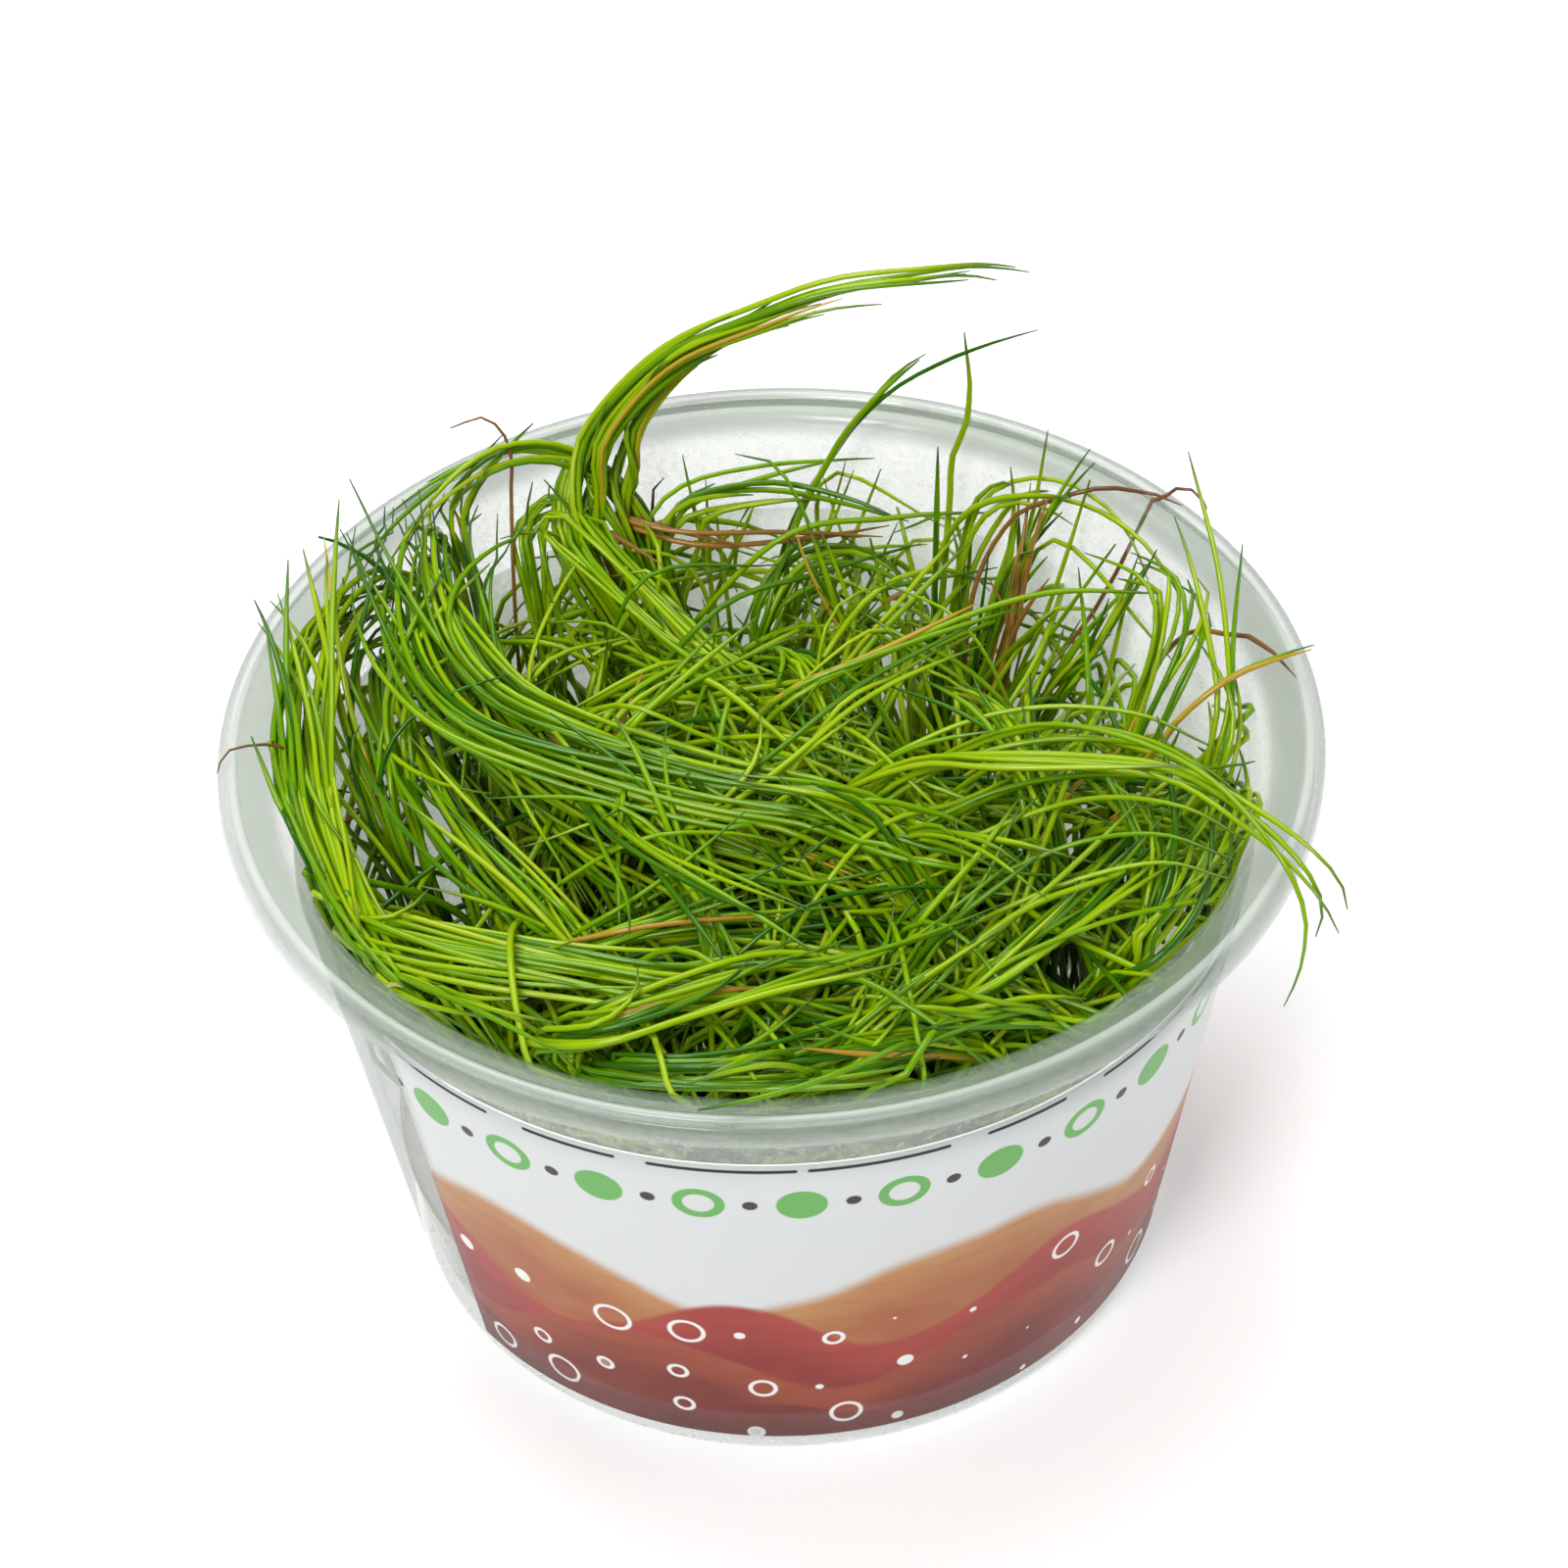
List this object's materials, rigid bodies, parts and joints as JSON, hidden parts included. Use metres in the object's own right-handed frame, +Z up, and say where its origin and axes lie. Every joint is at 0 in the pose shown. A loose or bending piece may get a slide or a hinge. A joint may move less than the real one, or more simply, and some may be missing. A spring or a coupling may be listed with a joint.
{
  "type": "potted aquarium grass in an in-vitro culture cup",
  "caption": "Dwarf hairgrass grown from tissue culture, standing in its milky clear plastic cup with a wrap-round printed label; fine blades sweep over and past the rim.",
  "frame": {"origin": "centre of the flat underside of the cup, on the surface that it stands on", "axes": "+Z up out of the mouth of the cup; -Y towards the front, where the middle of the label is; the label's ends are at the left, -X"},
  "size_m": [0.1, 0.1, 0.0811],
  "materials": {
    "cup_plastic": "milky translucent polypropylene, satin",
    "label_film": "printed film label, satin",
    "nutrient_gel": "clear wet culture gel",
    "grass_deep": "living leaf, waxy",
    "grass_fresh": "living leaf, waxy",
    "grass_yellow": "living leaf, waxy"
  },
  "bodies": {
    "root": {"cup": "cup_plastic", "label": "label_film", "gel": "nutrient_gel", "tuft_back_left": "grass_deep", "tuft_back": "grass_fresh", "tuft_back_right": "grass_yellow", "tuft_right": "grass_fresh", "tuft_front_right": "grass_deep", "tuft_front": "grass_deep", "tuft_front_left": "grass_fresh", "tuft_middle": "grass_fresh"}
  },
  "joints": []
}
